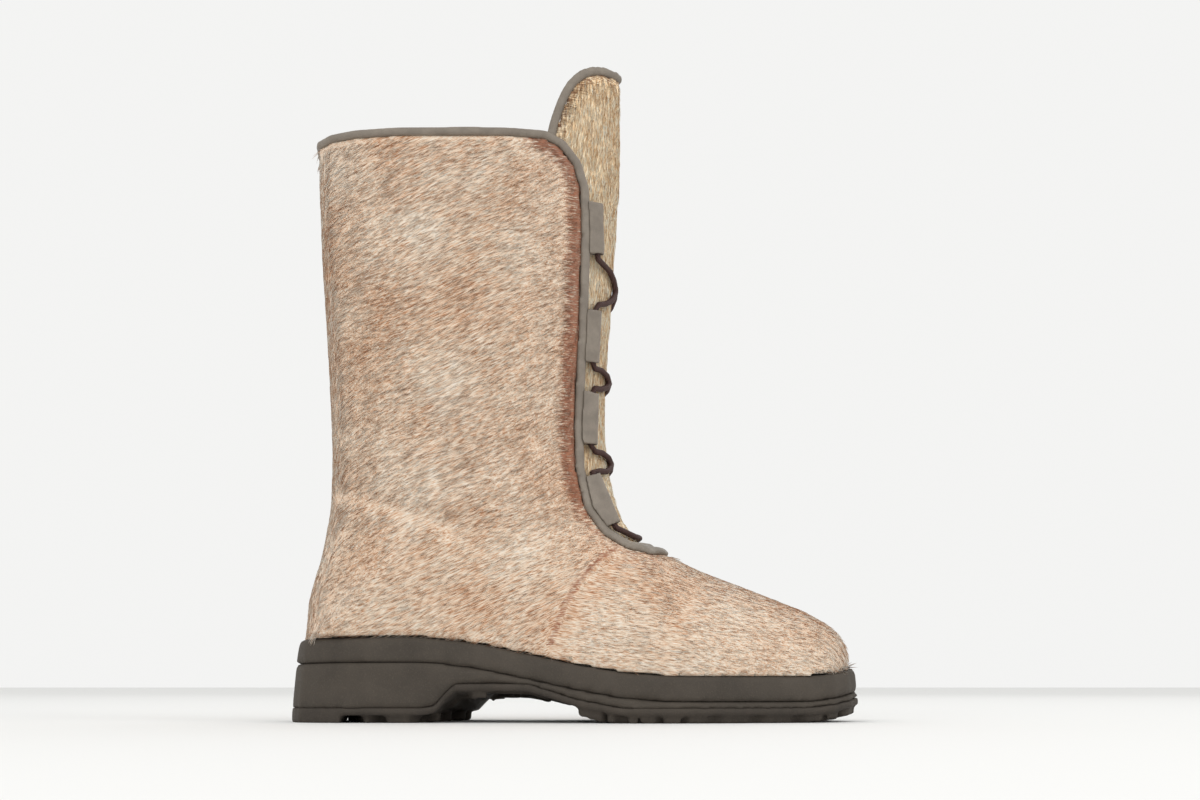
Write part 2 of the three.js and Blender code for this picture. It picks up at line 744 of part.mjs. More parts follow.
// Raised vamp seam: a low bead on each side, let into the wall
function seamBead(side) {
  const line = seamRows.map(sidePoint);
  const path = new THREE.CatmullRomCurve3(line.map((p) => {
    return formAt(p.x, p.z, side).addScaledVector(formNormal(p.x, p.z, side), -seamSet);
  }));
  const radius = seamHeight + seamSet;
  const shape = new THREE.Shape();
  shape.absellipse(0, 0, radius, seamWidth / 2, 0, 2 * Math.PI);
  return new THREE.ExtrudeGeometry(shape, { steps: 14, curveSegments: 4, bevelEnabled: false, extrudePath: path });
}

const bedCut = toSolid(soleSlab([
  { ...ringAt(() => -heelStack, wallDraft + rimChamfer, heelLean), side: -ballWidth / 2 },
  { ...ringAt((x) => bedHeight(x) + gap, wallDraft + rimChamfer, heelLean), side: -ballWidth / 2 },
]));

function upper() {
  const beads = [-1, 1].map((side) => toSolid(seamBead(side)).subtract(bedCut));
  const wall = shell(formSurface, 0, hideWall, true).subtract(bedCut);
  return toGeometry(wasm.Manifold.union([wall, ...beads]).subtract(opening));
}

addPiece('upper', upper(), hide);

function collarBinding() {
  const outer = toSolid(crossPrism(openingBeyond(gap - bindingWidth / 2)));
  const band = outer.subtract(toSolid(crossPrism(openingBeyond(bindingWidth / 2))));
  return toGeometry(shell(formSurface, -bindingProud, hideWall + bindingProud).intersect(band));
}

addPiece('collar_binding', collarBinding(), greyLeather);

// Insole inside the foot of the upper, cut to fit where the toe is low
const insoleInset = rimInset + hideWall + insoleMargin;

function insole() {
  const slab = toSolid(soleSlab([
    ringAt((x) => bedHeight(x) + gap, insoleInset, heelLean),
    ringAt((x) => bedHeight(x) + gap + insoleThickness, insoleInset, heelLean),
  ]));
  return toGeometry(slab.subtract(shell(formSurface, -gap, hideWall + gap, true)));
}

addPiece('insole', insole(), fleece);

// Tongue and its binding follow the same form, deeper by the wall and a clearance
const tongueDepth = hideWall + bindingProud + tongueBindingProud + tongueClearance;
const tongueSurface = formGrid(firstLegRib - 3, lastRib, frontOfRib);
const tongueLine = new THREE.CatmullRomCurve3(tongueRows.map((row) => {
  const p = sidePoint(row);
  return new THREE.Vector3(p.x, 0, p.z);
}), false, 'centripetal').getPoints(30).map((p) => ({ x: p.x, z: p.z }));

function tongueWithin(distance) {
  const line = beside(tongueLine, -distance);
  return toSolid(crossPrism([...line, { x: farFront, z: line[line.length - 1].z }, { x: farFront, z: line[0].z }]));
}

addPiece('tongue', toGeometry(
  shell(tongueSurface, tongueDepth, tongueDepth + tongueThickness).intersect(tongueWithin(tongueBindingWidth + gap)),
), tongueHide);

function tongueBinding() {
  const band = tongueWithin(0).subtract(tongueWithin(tongueBindingWidth));
  const low = heelStack + tongueBindingFrom * shaftHeight;
  const above = toSolid(crossPrism([
    { x: 0, z: low },
    { x: farFront, z: low },
    { x: farFront, z: farTop },
    { x: 0, z: farTop },
  ]));
  const thick = shell(tongueSurface, tongueDepth - tongueBindingProud, tongueDepth + tongueThickness + tongueBindingProud);
  return toGeometry(thick.intersect(band).intersect(above));
}

addPiece('tongue_binding', tongueBinding(), greyLeather);

const besideBinding = toSolid(crossPrism(openingBeyond(bindingWidth / 2 + gap)));

// Throat tab: a piece of leather inside the round foot of the collar binding
function throatTab() {
  const below = toSolid(crossPrism(tabRows.map(sidePoint)));
  return toGeometry(shell(tongueSurface, tabDepth, tabDepth + tabThickness).intersect(besideBinding).intersect(below));
}

addPiece('throat_tab', throatTab(), greyLeather);

// Front edge of the shaft at a height, and the way it runs there
const straightEdge = edgeRows.slice(3, 12).reverse().map(sidePoint);
const edgeAt = curve(straightEdge.map((p) => p.z), straightEdge.map((p) => p.x));

// Lace loops: leather folded into a flat tunnel that opens up and down along the edge
const tunnel = laceDiameter + 2 * loopClearance;
const loopHeight = tunnel + 2 * loopLeather;

function loopFrame(height, side) {
  const z = heelStack + height * shaftHeight;
  const offset = bindingWidth / 2 + 2 * gap;
  const [low, high] = [-1, 1].map((end) => {
    const level = z + (end * loopLength) / 2;
    return formAt(edgeAt(level) + offset, level, side);
  });
  const along = high.clone().sub(low).normalize();
  const outward = formNormal(edgeAt(z) + offset, z, side);
  outward.addScaledVector(along, -outward.dot(along)).normalize();
  const forward = along.clone().cross(outward).multiplyScalar(-side).normalize();
  const foot = low.add(high).multiplyScalar(0.5).addScaledVector(outward, loopClearance - tongueDepth);
  return { along, outward, forward, foot };
}

function loopGeometry() {
  const far = loopReach - loopHeight / 2;
  const near = far - tunnel / 2 - loopRoom;
  const shape = new THREE.Shape();
  shape.moveTo(-loopHeight, 0);
  shape.lineTo(far, 0);
  shape.absarc(far, loopHeight / 2, loopHeight / 2, -Math.PI / 2, Math.PI / 2, false);
  shape.lineTo(-loopHeight, loopHeight);
  const hole = new THREE.Path();
  hole.moveTo(near, loopLeather);
  hole.lineTo(near, loopLeather + tunnel);
  hole.lineTo(far, loopLeather + tunnel);
  hole.absarc(far, loopHeight / 2, tunnel / 2, Math.PI / 2, -Math.PI / 2, true);
  shape.holes.push(hole);
  return new THREE.ExtrudeGeometry(shape, { depth: loopLength, curveSegments: 3, bevelEnabled: false });
}

const sides = [
  { side: -1, name: 'outer' },
  { side: 1, name: 'inner' },
];

// Places a geometry by a matrix and turns its faces round where the matrix mirrors it
function placed(geometry, matrix) {
  const moved = geometry.clone().applyMatrix4(matrix);
  if (matrix.determinant() > 0) return moved;
  const index = [];
  for (let k = 0; k < moved.attributes.position.count; k += 3) index.push(k, k + 2, k + 1);
  moved.setIndex(index);
  return moved;
}

const loopFrames = {};
for (const { side, name } of sides) {
  loopFrames[side] = loopHeights.map((height) => loopFrame(height, side));
  loopFrames[side].forEach(({ along, outward, forward, foot }, i) => {
    const matrix = new THREE.Matrix4().makeBasis(forward, outward, along).setPosition(foot);
    const loop = placed(loopGeometry().translate(0, 0, -loopLength / 2), matrix);
    addPiece('loop_' + name + '_' + (i + 1), toGeometry(toSolid(loop).intersect(besideBinding)), greyLeather);
  });
}

// A point in front of the tongue, at a distance across from its middle line and a height
function frontPoint(across, z, depth) {
  const side = across < 0 ? -1 : 1;
  const place = (offset, level) => {
    let low = edgeAt(level) + bindingWidth + laceDiameter / 2;
    let high = soleLength * 0.75;
    for (let i = 0; i < 40; i++) {
      const x = (low + high) / 2;
      if (Math.abs(formAt(x, level, side).y - legCentre) > Math.max(Math.abs(offset), ridgeHalf)) low = x;
      else high = x;
    }
    return low;
  };
  const x = place(across, z);
  const step = 1;
  const slopeY = (place(Math.abs(across) + step, z) - place(Math.max(Math.abs(across) - step, 0), z)) * side;
  const slopeZ = (place(across, z + step) - place(across, z - step)) / (2 * step);
  const normal = new THREE.Vector3(1, -slopeY / (2 * step), -slopeZ).normalize();
  return new THREE.Vector3(x, legCentre + across, z).addScaledVector(normal, -depth);
}

// Lace: each strand runs down through a loop and crosses to the next loop on the other side
const laceDepth = tongueDepth - laceDiameter / 2 - laceClearance;

function loopPoint(side, i, end) {
  const { along, outward, forward, foot } = loopFrames[side][i];
  return foot.clone()
    .addScaledVector(forward, loopReach - loopHeight / 2 - laceDiameter / 4)
    .addScaledVector(outward, loopHeight / 2)
    .addScaledVector(along, (end * loopLength) / 2);
}

function crossing(from, to) {
  return laceSteps.map((share) => {
    const across = from.y + (to.y - from.y) * share - legCentre;
    return frontPoint(across, from.z + (to.z - from.z) * share, laceDepth);
  });
}

function strand(firstSide) {
  const points = [loopPoint(firstSide, 0, 0.6)];
  let side = firstSide;
  for (let i = 0; i < loopHeights.length; i++) {
    points.push(loopPoint(side, i, -0.5), loopPoint(side, i, -1.12));
    if (i === loopHeights.length - 1) break;
    const from = loopPoint(side, i, -1);
    const to = loopPoint(-side, i + 1, 1);
    points.push(...crossing(from, to));
    side = -side;
    points.push(loopPoint(side, i + 1, 1.12), loopPoint(side, i + 1, 0.5));
  }
  return points;
}

function laceSolid(points, steps) {
  const path = new THREE.CatmullRomCurve3(points, false, 'centripetal');
  const shape = new THREE.Shape();
  shape.absarc(0, 0, laceDiameter / 2, 0, 2 * Math.PI);
  const curveSegments = laceSides;
  return toSolid(new THREE.ExtrudeGeometry(shape, { steps, curveSegments, bevelEnabled: false, extrudePath: path }));
}

function lace() {
  const strands = [-1, 1].map(strand);
  const [left, right] = strands.map((points) => points[points.length - 1]);
  const low = [left, right].map((p) => new THREE.Vector3(p.x, p.y, p.z - laceDrop));
  const bar = [left, ...crossing(low[0], low[1]), right];
  return toGeometry(wasm.Manifold.union([
    laceSolid(strands[0], strandSteps),
    laceSolid(strands[1], strandSteps),
    laceSolid(bar, barSteps),
  ]));
}

addPiece('lace', lace(), cord);

// The middle of the footprint's bounds is the origin
const bounds = new THREE.Box3().setFromObject(boot);
const centre = bounds.getCenter(new THREE.Vector3());
for (const piece of boot.children) piece.geometry.translate(-centre.x, -centre.y, -bounds.min.z);

export default boot;
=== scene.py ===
import math
import bpy
import numpy as np
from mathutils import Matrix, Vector
from mathutils.bvhtree import BVHTree


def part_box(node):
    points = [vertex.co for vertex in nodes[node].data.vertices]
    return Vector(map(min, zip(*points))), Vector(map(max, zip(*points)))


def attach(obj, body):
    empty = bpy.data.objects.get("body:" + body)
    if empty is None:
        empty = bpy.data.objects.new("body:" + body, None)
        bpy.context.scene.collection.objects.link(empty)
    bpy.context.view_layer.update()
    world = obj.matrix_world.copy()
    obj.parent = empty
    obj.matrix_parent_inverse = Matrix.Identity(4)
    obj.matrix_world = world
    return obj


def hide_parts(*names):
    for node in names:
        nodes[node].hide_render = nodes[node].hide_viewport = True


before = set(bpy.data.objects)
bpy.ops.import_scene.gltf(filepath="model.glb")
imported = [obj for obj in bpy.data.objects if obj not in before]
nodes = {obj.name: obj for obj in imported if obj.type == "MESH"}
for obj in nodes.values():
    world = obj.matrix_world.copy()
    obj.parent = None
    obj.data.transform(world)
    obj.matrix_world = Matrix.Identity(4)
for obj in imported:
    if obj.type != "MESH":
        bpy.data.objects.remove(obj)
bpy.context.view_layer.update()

# Mukluk boot for the right foot. The toe points along +X and the outer side faces -Y.
mm = 0.001
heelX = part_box("outsole")[0].x  # rear end of the sole
axisX = heelX + 0.08  # upright line inside the shaft, which its lined side faces
centreY = -0.0037  # middle line of the shaft
skinTone = 0.5  # of the skin below the hairs, whose own tones run from 0 to 1


def pick(piece):
    bpy.ops.object.select_all(action="DESELECT")
    piece.select_set(True)
    bpy.context.view_layer.objects.active = piece


def finishModifier(piece, kind, **settings):
    pick(piece)
    modifier = piece.modifiers.new(kind.title(), kind)
    for name, value in settings.items():
        setattr(modifier, name, value)
    bpy.ops.object.modifier_apply(modifier=modifier.name)


def readPoints(piece):
    points = np.zeros(len(piece.data.vertices) * 3, np.float32)
    piece.data.vertices.foreach_get("co", points)
    return points.reshape(-1, 3).astype(float)


def writePoints(piece, points):
    piece.data.vertices.foreach_set("co", points.astype(np.float32).ravel())
    piece.data.update()


def readNormals(piece):
    normals = np.zeros(len(piece.data.vertices) * 3, np.float32)
    piece.data.vertices.foreach_get("normal", normals)
    return normals.reshape(-1, 3).astype(float)


def swell(piece, distance):
    writePoints(piece, readPoints(piece) + readNormals(piece) * distance)


def setAttribute(piece, name, values):
    layer = piece.data.attributes.new(name, "FLOAT", "POINT")
    layer.data.foreach_set("value", np.asarray(values, np.float32))


def smoothStep(values, low, high):
    t = np.clip((values - low) / (high - low), 0, 1)
    return t * t * (3 - 2 * t)


def sideLine(*places):  # seen from the side, in mm ahead of the heel and above the floor
    return [(heelX + x * mm, z * mm) for x, z in places]


# Distance of points from a line, both seen from the side
def lineDistance(points, line):
    nearest = np.full(len(points), np.inf)
    for (ax, az), (bx, bz) in zip(line[:-1], line[1:]):
        dx, dz = bx - ax, bz - az
        t = ((points[:, 0] - ax) * dx + (points[:, 2] - az) * dz) / (dx * dx + dz * dz)
        t = np.clip(t, 0, 1)
        gap = np.hypot(points[:, 0] - ax - t * dx, points[:, 2] - az - t * dz)
        nearest = np.minimum(nearest, gap)
    return nearest


rounding = {
    "merge": 0.00001,  # points nearer than this become one
    "factor": 0.5,  # how far a pass moves each point to the middle of its neighbours
    "levels": 10,  # steps between no rounding and all of it
}


# A copy of a CAD node, remeshed into small faces and rounded off.
# Where hold is given, it says which share of the rounding each point takes.
def roundedCopy(nodeName, pieceName, faceSize, passes, hold=None):
    piece = bpy.data.objects.new(pieceName, nodes[nodeName].data.copy())
    bpy.context.scene.collection.objects.link(piece)
    piece.data.materials.clear()
    pick(piece)
    bpy.ops.object.mode_set(mode="EDIT")
    bpy.ops.mesh.select_all(action="SELECT")
    bpy.ops.mesh.remove_doubles(threshold=rounding["merge"])
    bpy.ops.object.mode_set(mode="OBJECT")
    finishModifier(piece, "REMESH", mode="VOXEL", voxel_size=faceSize)
    smoothing = {"iterations": passes, "factor": rounding["factor"]}
    if hold is None:
        finishModifier(piece, "SMOOTH", **smoothing)
    else:
        levels = rounding["levels"]
        group = piece.vertex_groups.new(name="soft")
        steps = np.round(hold(readPoints(piece)) * levels).astype(int)
        for level in range(1, levels + 1):
            members = np.nonzero(steps == level)[0]
            if len(members):
                group.add(members.tolist(), level / levels, "REPLACE")
        finishModifier(piece, "SMOOTH", vertex_group="soft", **smoothing)
        piece.vertex_groups.clear()
    pick(piece)
    bpy.ops.object.shade_smooth()
    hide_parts(nodeName)
    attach(piece, "root")
    return piece


def turnTo(aim, place):  # how a camera or lamp is turned that looks from place at aim
    return (Vector(aim) - Vector(place)).to_track_quat("-Z", "Y").to_euler()


# Camera at the photo's angle to the shoe, stopped at the floor
camera = {
    "lens": 48,
    "sensor": 36,
    "place": (0.012, -0.85, 0.018),
    "aim": (0.012, 0.0, 0.17),
    "clipStart": 0.01,
}
bpy.ops.object.camera_add(location=camera["place"])
lookout = bpy.context.object
lookout.name = "camera"
lookout.data.lens = camera["lens"]
lookout.data.sensor_width = camera["sensor"]
lookout.data.clip_start = camera["clipStart"]
lookout.rotation_euler = turnTo(camera["aim"], camera["place"])
bpy.context.scene.camera = lookout

# Wide pale floor under a pale sky, with soft lamps round the boot
studio = {
    "floorSize": 40,
    "floorColour": (0.82, 0.82, 0.81, 1),
    "floorRoughness": 0.9,
    "floorSpecular": 0.1,
    "worldColour": (0.93, 0.93, 0.92, 1),
    "worldStrength": 0.97,
    "lampAim": (0, 0, 0.14),
    "lamps": [
        # place, energy, size
        ((-0.9, -1.5, 1.9), 10, 1.6),
        ((1.6, -0.9, 1.3), 8, 1.4),
        ((0.3, 1.3, 1.7), 4, 1.8),
        ((0.2, -3.0, 0.6), 7, 1.6),
    ],
}
bpy.ops.mesh.primitive_plane_add(size=studio["floorSize"], location=(0, 0, 0))
floor = bpy.context.object
floor.name = "floor"
floorMaterial = bpy.data.materials.new("paper")
floorMaterial.use_nodes = True
floorShader = floorMaterial.node_tree.nodes["Principled BSDF"]
floorShader.inputs["Base Color"].default_value = studio["floorColour"]
floorShader.inputs["Roughness"].default_value = studio["floorRoughness"]
floorShader.inputs["Specular IOR Level"].default_value = studio["floorSpecular"]
floor.data.materials.append(floorMaterial)
for place, energy, size in studio["lamps"]:
    bpy.ops.object.light_add(type="AREA", location=place)
    lamp = bpy.context.object
    lamp.data.energy = energy
    lamp.data.size = size
    lamp.rotation_euler = turnTo(studio["lampAim"], place)
world = bpy.data.worlds.new("studio")
world.use_nodes = True
world.node_tree.nodes["Background"].inputs["Color"].default_value = studio["worldColour"]
world.node_tree.nodes["Background"].inputs["Strength"].default_value = studio["worldStrength"]
bpy.context.scene.world = world
bpy.context.scene.view_settings.view_transform = "Standard"
print("stage and camera are ready")


# Node helpers for the materials
class Finish:
    def __init__(self, name, roughness, sheen, specular):
        self.material = bpy.data.materials.new(name)
        self.material.use_nodes = True
        self.tree = self.material.node_tree
        self.shader = self.tree.nodes["Principled BSDF"]
        self.shader.inputs["Roughness"].default_value = roughness
        self.shader.inputs["Sheen Weight"].default_value = sheen
        self.shader.inputs["Specular IOR Level"].default_value = specular
        self.where = self.add("ShaderNodeTexCoord").outputs["Object"]

    def add(self, kind, **inputs):
        node = self.tree.nodes.new(kind)
        for name, value in inputs.items():
            self.feed(node.inputs[name], value)
        return node

    def feed(self, socket, value):
        if isinstance(value, bpy.types.NodeSocket):
            self.tree.links.new(value, socket)
        else:
            socket.default_value = value

    def placed(self, turn, scale):  # turned first, then stretched
        turned = self.add("ShaderNodeMapping", Vector=self.where, Rotation=turn).outputs[0]
        return self.add("ShaderNodeMapping", Vector=turned, Scale=scale).outputs[0]

    def noise(self, vector, size, detail=3.0, rough=0.55):
        node = self.add("ShaderNodeTexNoise", Vector=vector, Scale=size, Detail=detail, Roughness=rough)
        return node.outputs["Fac"]

    def ramp(self, factor, stops):
        node = self.add("ShaderNodeValToRGB", Fac=factor)
        elements = node.color_ramp.elements
        while len(elements) < len(stops):
            elements.new(0.5)
        for element, (place, colour) in zip(elements, stops):
            element.position = place
            element.color = (*colour, 1)
        return node.outputs["Color"]

    def range(self, value, low, high, toLow=0.0, toHigh=1.0):
        node = self.add("ShaderNodeMapRange", Value=value)
        for name, number in (("From Min", low), ("From Max", high), ("To Min", toLow), ("To Max", toHigh)):
            node.inputs[name].default_value = number
        return node.outputs[0]

    def math(self, operation, a, b):
        node = self.add("ShaderNodeMath")
        node.operation = operation
        self.feed(node.inputs[0], a)
        self.feed(node.inputs[1], b)
        return node.outputs[0]

    def plus(self, a, b):
        return self.math("ADD", a, b)

    def times(self, a, b):
        return self.math("MULTIPLY", a, b)

    def swing(self, value, width):  # values of 0 to 1 spread evenly to both sides of 0
        return self.times(self.math("SUBTRACT", value, 0.5), width)

    def blend(self, factor, a, b):
        node = self.add("ShaderNodeMix")
        node.data_type = "RGBA"
        self.feed(node.inputs[0], factor)
        self.feed(node.inputs[6], a)
        self.feed(node.inputs[7], b)
        return node.outputs[2]

    def mixValue(self, factor, a, b):
        node = self.add("ShaderNodeMix")
        node.data_type = "FLOAT"
        self.feed(node.inputs[0], factor)
        self.feed(node.inputs[2], a)
        self.feed(node.inputs[3], b)
        return node.outputs[0]

    def attribute(self, name):
        node = self.add("ShaderNodeAttribute")
        node.attribute_name = name
        return node.outputs["Fac"]

    def close(self, colour, height, distance, strength):
        self.feed(self.shader.inputs["Base Color"], colour)
        bump = self.add("ShaderNodeBump", Height=height)
        bump.inputs["Distance"].default_value = distance
        bump.inputs["Strength"].default_value = strength
        self.tree.links.new(bump.outputs["Normal"], self.shader.inputs["Normal"])
        return self.material


def scaled(colour, factor):
    return [channel * factor for channel in colour]


# What the hide and the tongue share. Slopes are turns about Y in degrees.
hair = {
    "surface": (0.62, 0.04, 0.25),  # roughness, sheen, specular
    "fine": (3400, 0.05),  # size of the streaks, and how far they are drawn out
    "clump": (1700, 0.14),
    "fineShare": 0.6,
    "clumpShare": 0.4,
    "patch": (22, 2.0),  # size and detail
    "toneWidth": 0.3,  # from hair to hair
    "patchWidth": 0.26,
    "stops": (0.33, 0.42, 0.495, 0.57, 0.66),
    "edgeStreak": (2000, 2.0),
    "edgeStretch": (0.12, 0.12, 1),
    "edgeWidth": 1.9,  # how ragged the dark fringe is
    "strandWidth": 0.7,
    "strandShare": 0.3,
    "edgeRange": (0.4, 0.8, 0.0, 0.92),
    "edgeFade": (0.02, 0.2),
    "edgeTones": ((0.3, 0.5), (0.7, 1.7)),  # place on the ramp, times the dark colour
    "bump": (0.0004, 0.6),
}
hideLook = {
    "colours": [
        (0.34, 0.13, 0.056),
        (0.565, 0.325, 0.19),
        (0.73, 0.545, 0.4),
        (0.78, 0.665, 0.53),
        (0.84, 0.765, 0.675),
    ],
    # dark hair of the fringe, also used for the painted shade along the vamp seam
    "dark": (0.21, 0.077, 0.04),
    "slopes": (25, -8),  # down to the heel on the shaft, down to the toe on the vamp
}
tongueLook = {
    "colours": [
        (0.5, 0.25, 0.1),
        (0.8, 0.52, 0.27),
        (0.95, 0.74, 0.48),
        (0.97, 0.84, 0.62),
        (0.98, 0.91, 0.76),
    ],
    "dark": (0.12, 0.045, 0.018),
    "slopes": (80, 72),  # nearly upright, above and at the throat
}


# Fine lines along the hair, which turn where the foot attribute says so
def streaks(finish, foot, slopes, size, stretch):
    ways = []
    for slope in slopes:
        vector = finish.placed((0, math.radians(slope), 0), (stretch, 1, 1))
        ways.append(finish.noise(vector, size))
    return finish.mixValue(foot, *ways)


def hairFinish(name, look):
    finish = Finish(name, *hair["surface"])
    foot = finish.attribute("foot")
    fringe = finish.attribute("fringe")
    tone = finish.attribute("tone")
    fine = finish.times(streaks(finish, foot, look["slopes"], *hair["fine"]), hair["fineShare"])
    clump = finish.times(streaks(finish, foot, look["slopes"], *hair["clump"]), hair["clumpShare"])
    lines = finish.plus(fine, clump)
    shade = finish.plus(lines, finish.swing(tone, hair["toneWidth"]))
    shade = finish.plus(shade, finish.swing(finish.noise(finish.where, *hair["patch"]), hair["patchWidth"]))
    colour = finish.ramp(shade, list(zip(hair["stops"], look["colours"])))

    # Dark strokes where the fringe attribute is high: the fringe's dark hair, and on the hide also the
    # painted shade along the vamp seam
    edgeStreak = finish.noise(finish.placed((0, 0, 0), hair["edgeStretch"]), *hair["edgeStreak"])
    strand = finish.swing(tone, hair["strandWidth"])
    ragged = finish.plus(finish.swing(edgeStreak, hair["edgeWidth"]), strand)
    edgeDark = finish.range(finish.plus(fringe, ragged), *hair["edgeRange"])
    edgeDark = finish.times(edgeDark, finish.range(fringe, *hair["edgeFade"]))
    strokes = finish.plus(edgeStreak, finish.times(strand, hair["strandShare"]))
    darkTones = [(place, scaled(look["dark"], share)) for place, share in hair["edgeTones"]]
    colour = finish.blend(edgeDark, colour, finish.ramp(strokes, darkTones))
    return finish.close(colour, lines, *hair["bump"])


leatherLook = {
    "light": (0.25, 0.212, 0.172),
    "dark": (0.185, 0.155, 0.125),
    "surface": (0.5, 0.0, 0.4),  # roughness, sheen, specular
    "grain": (2600, 4.0, 0.6),  # size, detail, roughness
    "worn": (120, 3.0),
    "wornRange": (0.35, 0.68),
    "speck": ("dark", 0.6),  # painted shade in the grain's pits, where its bump sinks
    "speckRange": (0.3, 0.5, 0.35, 0.0),
    "bump": (0.0004, 0.5),
}
outsoleLook = {
    "light": (0.064, 0.052, 0.041),
    "dark": (0.043, 0.035, 0.028),
    "surface": (0.72, 0.0, 0.3),
    "grain": (1400, 5.0, 0.7),
    "worn": (45, 4.0),
    "wornRange": (0.32, 0.7),
    "speck": ("light", 1.5),  # colour of the dusty pores
    "speckRange": (0.52, 0.72, 0.0, 0.55),
    "bump": (0.0004, 0.6),
}
foamLook = {
    **outsoleLook,
    "light": (0.074, 0.061, 0.048),
    "dark": (0.052, 0.043, 0.034),
    "bump": (0.0005, 0.6),
}


# Leather and rubber: soft patches of two tones under small specks
def speckledFinish(name, look):
    finish = Finish(name, *look["surface"])
    grain = finish.noise(finish.where, *look["grain"])
    worn = finish.noise(finish.where, *look["worn"])
    colour = finish.blend(finish.range(worn, *look["wornRange"]), (*look["dark"], 1), (*look["light"], 1))
    base, share = look["speck"]
    speck = (*scaled(look[base], share), 1)
    colour = finish.blend(finish.range(grain, *look["speckRange"]), colour, speck)
    return finish.close(colour, grain, *look["bump"])


fleeceLook = {
    "light": (0.72, 0.64, 0.52),
    "dark": (0.5, 0.42, 0.32),
    "surface": (0.95, 0.5, 0.1),
    "curls": (900, 4.0),
    "curlRange": (0.35, 0.65),
    "bump": (0.0015, 0.9),
}
liningLook = {**fleeceLook, "light": (0.62, 0.52, 0.4), "dark": (0.42, 0.34, 0.25)}


def fleeceFinish(name, look):
    finish = Finish(name, *look["surface"])
    curls = finish.noise(finish.where, *look["curls"])
    colour = finish.blend(finish.range(curls, *look["curlRange"]), (*look["dark"], 1), (*look["light"], 1))
    return finish.close(colour, curls, *look["bump"])


cordLook = {
    "light": (0.078, 0.034, 0.028),
    "dark": (0.036, 0.016, 0.013),
    "surface": (0.6, 0.0, 0.35),
    "braid": {"Scale": 520, "Distortion": 1.5, "Detail": 2.0},
    "fibre": (3500, 2.0),
    "fibreShare": 0.5,
    "bump": (0.0003, 0.7),
}


def cordFinish(name, look):
    finish = Finish(name, *look["surface"])
    wave = finish.add("ShaderNodeTexWave", Vector=finish.where, **look["braid"])
    wave.bands_direction = "DIAGONAL"
    braid = wave.outputs["Fac"]
    fibre = finish.noise(finish.where, *look["fibre"])
    colour = finish.blend(braid, (*look["dark"], 1), (*look["light"], 1))
    return finish.close(colour, finish.plus(braid, finish.times(fibre, look["fibreShare"])), *look["bump"])


hideMaterial = hairFinish("hide", hideLook)
tongueMaterial = hairFinish("tongue hair", tongueLook)
leatherMaterial = speckledFinish("grey leather", leatherLook)
outsoleMaterial = speckledFinish("outsole rubber", outsoleLook)
foamMaterial = speckledFinish("sole foam", foamLook)
fleeceMaterial = fleeceFinish("fleece", fleeceLook)
liningMaterial = fleeceFinish("lining", liningLook)
cordMaterial = cordFinish("lace cord", cordLook)
print("materials are ready")

# Front edge of the shaft, from the top of the straight part down to the throat
edgeLine = sideLine(
    (128.5, 305), (137.8, 301), (145.4, 292), (149.5, 279), (150.4, 252), (149.2, 213), (147.5, 173.5),
    (146.6, 152.5), (147.5, 129), (152.4, 108), (161.2, 96), (172.3, 89.4), (184, 86.7),
)
throatLine = edgeLine + sideLine((200, 89))  # the same edge, on to the throat's front end
seamLine = sideLine((167.9, 88), (159.1, 82.8), (148.9, 72.2), (140.2, 57.8), (133.7, 39.4))
bed = {
    "length": 0.292,
    "low": 22.8,  # mm above the floor at the toe
    "rise": 19.5,  # mm from there up to the heel
    "places": (0, 0.22, 0.31, 0.4, 0.48, 0.56, 0.63, 1),  # shares of the length, from the heel
    "heights": (0.97, 1, 0.88, 0.63, 0.37, 0.13, 0.02, 0),  # shares of the rise
}
upperFacts = {
    "faceSize": 0.0021,
    "passes": 36,
    "collarTop": 0.303,
    "edgeHold": (0.002, 0.009),  # not rounded up to here, rounded in full from here on
    "seamHold": (0.002, 0.006),
    "seamShare": 0.25,  # of the rounding, on the vamp seam
    "seamTurn": 0.0015,  # to each side of the seam, where the hair changes its way
    "fringe": (0.0045, 0.016),  # dark up to here, gone by here
    "fringeShares": (0.45, 0.43),  # round the throat, and added to it higher up
    "fringeRise": (0.09, 0.12),
    # painted shade along the vamp seam: where it is full and where it is gone, then how strong it is
    "seamShade": (0.0006, 0.0036),
    "seamShadeShare": 0.65,
    "sideGain": 1.3,  # folds fade where the hide turns away from the side
    "creases": [
        # line, depth, half width
        (sideLine((18, 118), (50, 108), (83, 97)), 0.0016, 0.006),
        (sideLine((12, 148), (45, 146), (75, 140)), 0.0009, 0.007),
        (sideLine((125, 142), (100, 128), (78, 120)), 0.0013, 0.006),
        (sideLine((205, 66), (195, 50), (190, 38)), 0.0008, 0.006),
    ],
    "ripple": {"depth": 0.0007, "alongX": 46, "alongZ": 39, "start": 1.3, "rise": (0.1, 0.16)},
    # limits that find the inner wall
    "shaftFrom": 0.14,
    "shaftFacing": 0.2,
    "wall": 0.0065,
    "heelReach": 0.06,
    "heelFacing": 0.3,
    "rayStart": 0.0001,
}


def bedHeights(points):  # height of the sole's bed under each point
    share = (points[:, 0] - heelX) / bed["length"]
    return (bed["low"] + bed["rise"] * np.interp(share, bed["places"], bed["heights"])) * mm


def upperHold(points):
    fromEdge = lineDistance(points, throatLine)
    fromCollar = np.abs(points[:, 2] - upperFacts["collarTop"])
    fromBed = points[:, 2] - bedHeights(points)
    nearest = np.minimum(np.minimum(fromEdge, fromCollar), fromBed)
    onSeam = upperFacts["seamShare"]
    offSeam = smoothStep(lineDistance(points, seamLine), *upperFacts["seamHold"])
    return smoothStep(nearest, *upperFacts["edgeHold"]) * (onSeam + (1 - onSeam) * offSeam)


